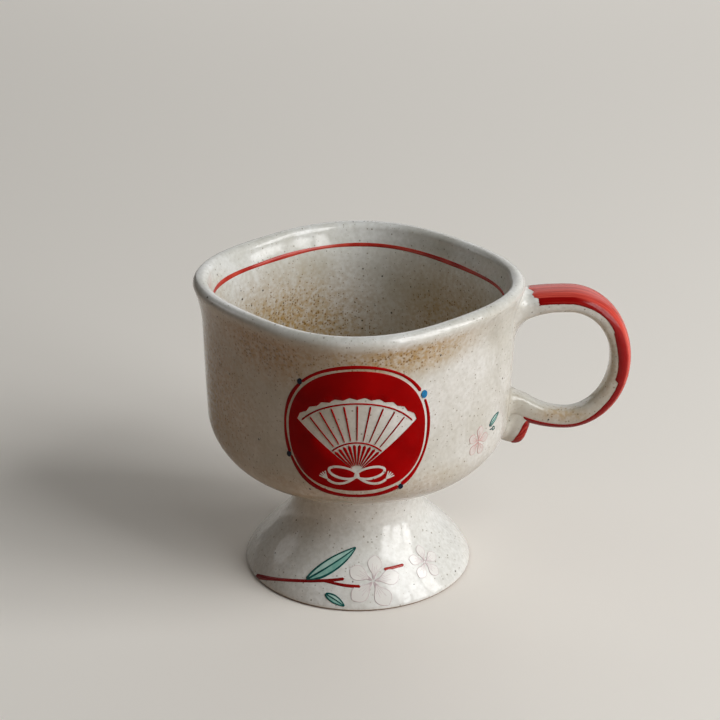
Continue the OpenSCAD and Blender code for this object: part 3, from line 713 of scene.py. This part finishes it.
lines_mesh = bmesh.new()
for i in range(1, fan_folds):
    turn = -fan_half + fold * i
    brush_stroke(lines_mesh, on_bowl,
                 lambda t: fan_at(turn, mix(fan_leaf_in + line_gap, leaf_out - line_gap, t)),
                 lambda t: fan_line_w * mix(fold_thin, fold_broad, t))
for i in range(fan_folds):
    turn = -fan_half + fold * (i + 0.5)
    brush_stroke(lines_mesh, on_bowl,
                 lambda t: fan_at(turn, mix(rib_in, fan_leaf_in - line_gap, t)),
                 lambda t: mix(rib_w_in, rib_w_out, t), rows=12)
side = fan_half - line_gap / fan_leaf_in / 2
for reach in (fan_leaf_in, leaf_out):
    brush_stroke(lines_mesh, on_bowl, lambda t: fan_at(mix(-side, side, t), reach),
                 lambda t: fan_line_w, rows=64)
lines = add_piece(lines_mesh, "medallion_fan_lines", medallion_red)
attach(lines, "root")
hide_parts("medallion_lines")

# Medallion ring: a thin red ring round the disc, brushed in four strokes from dot to dot. They stop
# short of the bright dot and run a little way under the dark ones.
dot_bearings = [radians(a) for a in (27, 138, 204, 306)]
dot_r, dark_dot_r, dot_clear, dot_tuck = 1.1, 0.825, 0.5, 0.4
ring_gap, ring_w, ring_drop, ring_full = 0.8, 1, 1.3, 2.2
ring_wave, ring_waves, ring_shift, ring_low = 0.18, 9, 5, 0.7


def round_disc(bearing, out):
    """A place on the ring's outline, or out of it, at a bearing from the medallion's middle."""
    inner = soft_round(bearing, disc_r + disc_widen + ring_gap, disc_r + ring_gap,
                       disc_r - disc_trim + ring_gap + ring_drop, ring_full)
    return (inner + out) * Vector((cos(bearing), sin(bearing)))


ring_mesh = bmesh.new()
bright_stop = (dot_r + dot_clear) / (disc_r + ring_gap)
dark_stop = (dark_dot_r - dot_tuck) / (disc_r + ring_gap)
stops = [bright_stop] + [dark_stop] * 3 + [bright_stop]
ring_turns = dot_bearings + [dot_bearings[0] + tau]
for start, end, start_stop, end_stop in zip(ring_turns, ring_turns[1:], stops, stops[1:]):
    def ring_width(t):
        wave = ring_wave * sin(ring_waves * t + start * ring_shift)
        return ring_w * (1 + wave + ring_low * max(0, -sin(mix(start, end, t))) ** 2)

    brush_stroke(ring_mesh, on_bowl,
                 lambda t: round_disc(mix(start + start_stop, end - end_stop, t), ring_w / 2),
                 ring_width, rows=90)
ring = add_piece(ring_mesh, "medallion_ring_strokes", medallion_red)
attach(ring, "root")
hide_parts("medallion_ring")

# Medallion dots: four drops of blue enamel on the ring's line. The one at the upper right is
# bright, the others nearly navy. Each is a disc, inset and raised.
drop_sides, drop_t, drop_narrow, drop_tall = 32, 1.6 * coat_t, 0.9, 1.1
drop_rises = [(0.12, 0.7), (0.45, 1.0)]
dots_mesh = bmesh.new()
for i, bearing in enumerate(dot_bearings):
    drop_r = dot_r if i == 0 else dark_dot_r
    drop = bmesh.ops.create_circle(dots_mesh, segments=drop_sides, radius=drop_r,
                                   cap_ends=True)["verts"]
    faces = list({face for v in drop for face in v.link_faces})
    for share, rise in drop_rises:
        bmesh.ops.inset_region(dots_mesh, faces=faces, thickness=drop_r * share,
                               use_even_offset=True)
        for v in {v for face in faces for v in face.verts}:
            v.co.z = rise * drop_t
    # Laid drops have a finish of 1 or 2, so this finds the new one
    verts = list({v for f in dots_mesh.faces if f.material_index == 0 for v in f.verts})
    middle = round_disc(bearing, ring_w)
    for v in verts:
        v.co.xy = (v.co.x * drop_narrow + middle.x, v.co.y * drop_tall + middle.y)
    fire_on(dots_mesh, verts, on_bowl, 0, 2 if i == 0 else 1)
for face in dots_mesh.faces:
    face.material_index -= 1


def enamel(name, deep, thin, pool_mm, shine=0.5):
    """Coloured overglaze enamel: glass stained with metal oxides, deeper where it pooled."""
    finish, tree = new_finish(name)
    metres = shade(tree, "TexCoord")["Object"]
    pools = shade(tree, "TexNoise", {"Vector": metres, "Scale": 1 / (MM * pool_mm), "Detail": 3})[0]
    amount = shade(tree, "MapRange", {0: pools, 1: 0.35, 2: 0.65, 3: 0.0, 4: 1.0})[0]
    colour = shade(tree, "Mix", {0: amount, 6: srgb(deep), 7: srgb(thin)}, data_type="RGBA")[2]
    gloss = shade(tree, "MapRange", {0: pools, 3: 0.1, 4: 0.24})[0]
    shader = shade(tree, "BsdfPrincipled",
                   {"Base Color": colour, "Roughness": gloss, "IOR": 1.52,
                    "Specular IOR Level": shine})
    shade(tree, "OutputMaterial", {0: shader[0]})
    return finish


navy_enamel = enamel("navy_enamel", "#0C1226", "#141D36", 1.2, shine=0.1)
blue_enamel = enamel("cobalt_blue_enamel", "#085C90", "#0F80B8", 1.2, shine=0.3)
dots = add_piece(dots_mesh, "medallion_dot_drops", navy_enamel, blue_enamel)
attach(dots, "root")
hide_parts("medallion_dots")

# Handle enamel: red brushed along the strap's outer face and a little way round its edges. The
# bristles leave streaks, and a ragged start near the upper root. The red is deeper towards the
# edges, partly thicker enamel and partly painted shade on the strap's sides, and its pale middle
# is partly a painted sheen.
enamel_off, enamel_slant, enamel_to, ragged = 0.15, 1.4, curl_share(0.48), 0.35
strap_l = path_length(strap_at, 60)
coat_rows, coat_sides, streak_w, at_edge = 200, 48, 8, 0.999
thick_and_shade_from, thick_and_shade_to = 0.52, 0.7
slow_wander, slow_waves, quick_wander, quick_waves = 2.5, 11, 1.2, 60
broad_bristles, fine_bristles, fine_share = 5, 17, 0.6
slant_steps, first_edge = [(-0.06, 0.02), (0.5, 0.56)], 5
edge_changes = [(0.22, 0.42, -11), (0.53, 0.545, 10), (0.64, 0.8, 15), (0.84, 0.92, -4)]


def red_edge(s):
    """Where the red stops on the strap's side, in degrees from its middle. It steps back half way
    down, where the brush was set down again, thins to a line and widens at the curl."""
    edge = first_edge
    for begin, end, change in edge_changes:
        edge += change * ramp(s, begin, end)
    return edge


def wobble(along, row):
    """A smooth wobble between -1 and 1, another one for each row."""
    return noise.noise(Vector((along, row, 0)))


red_mesh = bmesh.new()
streak = red_mesh.verts.layers.float_vector.new("brush_way")
strip = bmesh.ops.create_grid(red_mesh, x_segments=coat_rows, y_segments=coat_sides,
                              size=1)["verts"]
for v in strip:
    along, across = (v.co.x + 1) / 2, v.co.y
    bristle = wobble(across * broad_bristles, 3.1)
    bristle += fine_share * wobble(across * fine_bristles, 8.4)
    slant = enamel_slant * sum(ramp(across, *step) for step in slant_steps) / 2
    start = (enamel_off + slant + ragged * bristle * ramp(across, -1, -0.5)) / strap_l
    s = mix(start, enamel_to, along)
    wander = slow_wander * wobble(s * slow_waves, 1.7 + copysign(2, across))
    wander += quick_wander * wobble(s * quick_waves, 4.1 + copysign(2, across))
    wrap = radians(red_edge(s) + wander)
    angle = mix(wrap, pi - wrap, (across + 1) / 2)
    # Deeper towards the edges: thicker enamel, and painted shade on the strap's sides
    thick = thick_and_shade_mm * ramp(abs(across), thick_and_shade_from, thick_and_shade_to)
    v[streak] = Vector((s * strap_l, across * streak_w, thick)) * MM
    v.co = (s, angle, edge_t if max(abs(across), abs(v.co.x)) > at_edge else coat_t)
fire_on(red_mesh, strip, strap_place)
# The pale red is partly a painted sheen on the strap's top
strap_red = red_enamel("streaked_red_enamel", "#8C0505", "#DA5648", 0.2, streaks="brush_way")
handle_red = add_piece(red_mesh, "handle_red_coat", strap_red)
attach(handle_red, "root")
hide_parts("handle_enamel")

# Curl enamel: the same red, dabbed round the curl's lower side and over its blunt tip, where the
# rows of the mesh crowd together.
dab_from, dab_bow, dab_ragged, dab_waves, dab_crowd = 0.53, 0.13, 0.05, 4, 4
dab_rows, dab_sides = 24, 36
dab_half, tip_half, tip_gap, dab_w, dab_thick = 1.7, 3.05, 2e-6, 6, 3
dab_mesh = bmesh.new()
dab_way = dab_mesh.verts.layers.float_vector.new("brush_way")
dab = bmesh.ops.create_grid(dab_mesh, x_segments=dab_rows, y_segments=dab_sides, size=1)["verts"]
for v in dab:
    along, across = (v.co.x + 1) / 2, v.co.y
    start = dab_from + dab_bow * across ** 2 + dab_ragged * wobble(across * dab_waves, 5.2)
    share = 1 - max(tip_gap, (1 - along) ** dab_crowd)
    s = mix(start, 1, share)
    angle = pi / 2 + across * mix(dab_half, tip_half, share)
    v[dab_way] = Vector((s * curl_l, across * dab_w, dab_thick)) * MM
    v.co = (s, angle, edge_t if max(abs(across), abs(v.co.x)) > at_edge else coat_t)
fire_on(dab_mesh, dab, curl_place)
curl_red = add_piece(dab_mesh, "curl_red_dab", strap_red)
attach(curl_red, "root")
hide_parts("curl_enamel")

# Twigs: strokes of red enamel on the foot. The main one comes in dark and thick from the left and
# forks, and a short one joins the two blossoms. Their places are bearings in degrees and shares of
# the foot's flare.
twig_root_w, twig_w, twig_taper, fork_w_in, fork_w_out = 1.6, 1.0, 0.35, 0.8, 1.1
flat_share, flare_step = 0.25, 0.01
degree_mm = curve(foot_line, flat_share).x * pi / 180
share_mm = (curve(foot_line, flat_share) - curve(foot_line, 0)).length / flat_share


def on_foot(across, up, lift):
    """A place on the flare, where across / degree_mm is its bearing and up / share_mm its share."""
    share, bearing = max(0, up / share_mm), radians(across / degree_mm)
    at = curve(foot_line, share)
    way = curve(foot_line, share + flare_step) - curve(foot_line, share - flare_step)
    way.normalize()
    r = at.x + way.y * lift
    return Vector((r * cos(bearing), r * sin(bearing), at.y - way.x * lift))


def foot_spots(*places):
    return [Vector((bearing * degree_mm, share * share_mm)) for bearing, share in places]


twig_mesh = bmesh.new()
main_twig = foot_spots((-151, 0.0), (-139, 0.084), (-128, 0.156), (-118, 0.206), (-107, 0.248),
                       (-95.7, 0.292))
fork = foot_spots((-109, 0.242), (-101.5, 0.25), (-98, 0.218), (-93, 0.226), (-86.4, 0.217))
short_twig = foot_spots((-71.6, 0.376), (-58.2, 0.382))
brush_stroke(twig_mesh, on_foot, lambda t: curve(main_twig, t),
             lambda t: mix(twig_root_w, twig_w, ramp(t, 0, twig_taper)), rows=70)
brush_stroke(twig_mesh, on_foot, lambda t: curve(fork, t),
             lambda t: mix(fork_w_in, fork_w_out, t), rows=40)
brush_stroke(twig_mesh, on_foot, lambda t: curve(short_twig, t), lambda t: twig_w, rows=30,
             finish=1)
twig_red = red_enamel("dark_red_enamel", "#780808", "#961110", 0.3)
twigs = add_piece(twig_mesh, "foot_twigs", twig_red, rim_red)
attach(twigs, "root")
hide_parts("twig_enamel")

# Leaves: a wash of pale green enamel inside a dark teal outline with a midrib, two on the foot and
# a small one on the bowl, beside a bud with a short stalk.
leaf_full, leaf_point, leaf_edge, midrib_half, wash_t = 0.85, 0.8, 0.97, 0.03, 0.1
leaf_line_w, leaf_line_t, leaf_line_lift, line_at_base, line_at_tip = 0.68, 0.14, 0.04, 1.3, 0.7
small_line_w = leaf_line_w * 0.7


def leaf_side(base, tip, width, t, across, bend=0, fullest=leaf_full):
    """A point of a leaf that bends a little to one side and is fullest near its base or its tip."""
    way = (tip - base).normalized()
    normal = Vector((-way.y, way.x))
    along = max(0, min(1, t))
    half = width / 2 * max(0, sin(pi * along ** fullest)) ** leaf_point
    return base.lerp(tip, t) + normal * (half * across + bend * sin(pi * along))


def leaf_wash(art, place, base, tip, width, bend=0, finish=0, shares=(-1, 1), fullest=leaf_full):
    """A thin wash over a leaf, or over the shares of it between its sides at -1 and 1."""
    wash = bmesh.ops.create_grid(art, x_segments=24, y_segments=6, size=1)["verts"]
    for v in wash:
        along, across = (v.co.x + 1) / 2, mix(*shares, (v.co.y + 1) / 2)
        at = leaf_side(base, tip, width, along, across, bend, fullest)
        v.co = (at.x, at.y, wash_t)
    fire_on(art, wash, place, 0, finish)


leaf_mesh = bmesh.new()
sprig_at, sprig_turn = Vector((44.8, -12.6)), radians(28.5)
sprig_way = Vector((cos(sprig_turn), sin(sprig_turn)))
foot_leaf = foot_spots((-117.5, 0.215), (-89.4, 0.632))
small_leaf = foot_spots((-104.9, 0.122), (-94.5, 0.028))
bowl_leaf = [sprig_at + sprig_way * 6.4, sprig_at + sprig_way * 12.2]
# Surface, base and tip, width, bend, width of its lines
leaves = [
    (on_foot, foot_leaf, 4.6, 0.5, leaf_line_w),
    (on_foot, small_leaf, 2.1, 0.2, small_line_w),
    (on_bowl, bowl_leaf, 1.9, 0.1, small_line_w),
]
for place, (base, tip), width, bend, line_w in leaves:
    leaf_wash(leaf_mesh, place, base, tip, width, bend, 0, (midrib_half, 1))
    leaf_wash(leaf_mesh, place, base, tip, width, bend, 1, (-1, -midrib_half))
    for across in (-leaf_edge, leaf_edge, 0):
        brush_stroke(leaf_mesh, place, lambda t: leaf_side(base, tip, width, t, across, bend),
                     lambda t: line_w * mix(line_at_base, line_at_tip, t), rows=48,
                     base=leaf_line_lift, finish=2, thick=leaf_line_t)
bud, bud_r, bud_turn, bud_line_w = sprig_at + Vector((8.0, 1.5)), 0.6, tau * 0.98, 0.28
stalk_from, stalk_way, stalk_w = bud + Vector((-2, 0.2)), Vector((1.4, -0.1)), 0.35
brush_stroke(leaf_mesh, on_bowl,
             lambda t: bud + bud_r * Vector((cos(bud_turn * t), sin(bud_turn * t))),
             lambda t: bud_line_w, rows=24, finish=2)
brush_stroke(leaf_mesh, on_bowl, lambda t: stalk_from + stalk_way * t, lambda t: stalk_w, rows=12,
             finish=2)
leaf_light = enamel("pale_green_enamel", "#A2CDC4", "#BEDFD7", 2.5)
leaf_mid = enamel("sea_green_enamel", "#7AB3A8", "#9CCABF", 2.5)
leaf_dark = enamel("teal_line_enamel", "#0B4543", "#17605B", 1.5)
foliage = add_piece(leaf_mesh, "sprig_leaves", leaf_light, leaf_mid, leaf_dark)
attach(foliage, "root")
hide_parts("leaf_enamel")

# Blossoms: five petals each in the thinnest wash of white or pink enamel, drawn round and veined
# with a fine brush. Two are on the foot and a small one is on the bowl.
petals, blossom_turn = 5, radians(78)
petal_in, petal_full, petal_fullest, petal_edge = 0.16, 0.6, 1.4, 0.96
vein_in, vein_w, fine_t, fine_lift = 0.1, 0.8, 0.1, 0.03
veins = [(-0.3, 0.5), (-0.16, 0.66), (0.0, 0.56), (0.15, 0.7), (0.28, 0.48)]
big_blossom, small_blossom = foot_spots((-79, 0.27), (-43.5, 0.33))
# Surface, middle, reach, width of its lines, finish of its wash and of its lines
blossoms = [(on_foot, big_blossom, 8.6, 0.24, 0, 2), (on_foot, small_blossom, 6.0, 0.22, 0, 2),
            (on_bowl, sprig_at, 4.9, 0.24, 1, 3)]
blossom_mesh = bmesh.new()
for place, middle, reach, line_w, wash, ink in blossoms:
    petal_w = reach * petal_full
    for k in range(petals):
        turn = blossom_turn + tau * k / petals
        way = Vector((cos(turn), sin(turn)))
        base, tip = middle + way * reach * petal_in, middle + way * reach
        leaf_wash(blossom_mesh, place, base, tip, petal_w, finish=wash, fullest=petal_fullest)
        for across in (-petal_edge, petal_edge):
            brush_stroke(blossom_mesh, place,
                         lambda t: leaf_side(base, tip, petal_w, t, across, 0, petal_fullest),
                         lambda t: line_w, rows=32, base=fine_lift, finish=ink, thick=fine_t)
        for lean, share in veins:
            vein = Vector((cos(turn + lean), sin(turn + lean))) * reach * share
            brush_stroke(blossom_mesh, place, lambda t: middle + vein * mix(vein_in, 1, t),
                         lambda t: line_w * vein_w, rows=16, base=fine_lift, finish=ink,
                         thick=fine_t)
white_blush = enamel("white_wash_enamel", "#E0DFDB", "#E5E4E0", 4)
pink_blush = enamel("pink_wash_enamel", "#CCC5C1", "#D5CFCC", 4)
mauve_line = enamel("mauve_line_enamel", "#C9BABC", "#D6CBCB", 2)
pink_line = enamel("pink_line_enamel", "#C6A09D", "#CFAFAA", 2)
flowers = add_piece(blossom_mesh, "sprig_blossoms", white_blush, pink_blush, mauve_line, pink_line)
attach(flowers, "root")
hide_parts("blossom_enamel")

# Stage: a plain pale floor of matt paper that fills the view and keeps the mug's soft shadow. It
# throws back a warm brown, as the wooden table does on which the mug stood.
floor_half = 4
floor_mesh = bmesh.new()
bmesh.ops.create_grid(floor_mesh, x_segments=1, y_segments=1, size=floor_half)
floor_data = bpy.data.meshes.new("floor")
floor_mesh.to_mesh(floor_data)
floor_mesh.free()
paper, tree = new_finish("matt_backdrop_paper")
rays = shade(tree, "LightPath")
seen = rays["Is Camera Ray"]
for ray in ("Is Glossy Ray", "Is Transmission Ray"):
    seen = shade(tree, "Math", {0: seen, 1: rays[ray]}, operation="MAXIMUM")[0]
tone = shade(tree, "Mix", {0: seen, 6: srgb("#A3805A"), 7: srgb("#F1EDE6")}, data_type="RGBA")[2]
shader = shade(tree, "BsdfPrincipled",
               {"Base Color": tone, "Roughness": 0.85, "Specular IOR Level": 0.2})
shade(tree, "OutputMaterial", {0: shader[0]})
floor_data.materials.append(paper)
floor = bpy.data.objects.new("floor", floor_data)
scene.collection.objects.link(floor)

# Light: a tall window of three panes at the right, the pale wall behind, a dim far window at the
# left and a grey room. Places and sizes are in metres, power in watts.
pane_size, pane_power, lamp_aim, room_level = (0.29, 1.2), 7.1, Vector((0, 0, 0.05)), 0.12
lamps = [
    ("pane_front", (0.92, -0.77, 0.68), pane_size, pane_power),
    ("pane_middle", (1.1, -0.47, 0.68), pane_size, pane_power),
    ("pane_back", (1.19, -0.12, 0.68), pane_size, pane_power),
    ("pale_wall", (0.1, 1.15, 0.55), (1.6, 0.9), 4.5),
    ("far_window", (-1.05, 0.3, 0.7), (0.4, 0.5), 0.6),
]
for name, spot, size, power in lamps:
    lamp_data = bpy.data.lights.new(name, "AREA")
    lamp_data.shape = "RECTANGLE"
    lamp_data.size, lamp_data.size_y = size
    lamp_data.energy = power
    lamp = bpy.data.objects.new(name, lamp_data)
    facing = (lamp_aim - Vector(spot)).to_track_quat("-Z", "Y").to_matrix().to_4x4()
    lamp.matrix_world = Matrix.Translation(spot) @ facing
    scene.collection.objects.link(lamp)
room = bpy.data.worlds.new("grey_room")
room.use_nodes = True
background = room.node_tree.nodes["Background"].inputs
background["Color"].default_value = srgb("#E4E0D9")
background["Strength"].default_value = room_level
scene.world = room

# Camera: the photograph's view, from the front and above, slightly rolled. Its place and turns fit
# the rim, the foot and the handle.
camera_at = (0.01803, -0.5036, 0.2926)
pitch, yaw, roll = radians(24.04), radians(2), radians(0.21)
camera_data = bpy.data.cameras.new("camera")
camera_data.lens, camera_data.sensor_width = 90, 36
camera = bpy.data.objects.new("camera", camera_data)
look = Vector((-sin(yaw) * cos(pitch), cos(yaw) * cos(pitch), -sin(pitch)))
facing = look.to_track_quat("-Z", "Y").to_matrix().to_4x4()
camera.matrix_world = Matrix.Translation(camera_at) @ facing @ Matrix.Rotation(roll, 4, "Z")
scene.collection.objects.link(camera)
scene.camera = camera
scene.view_settings.view_transform = "Standard"
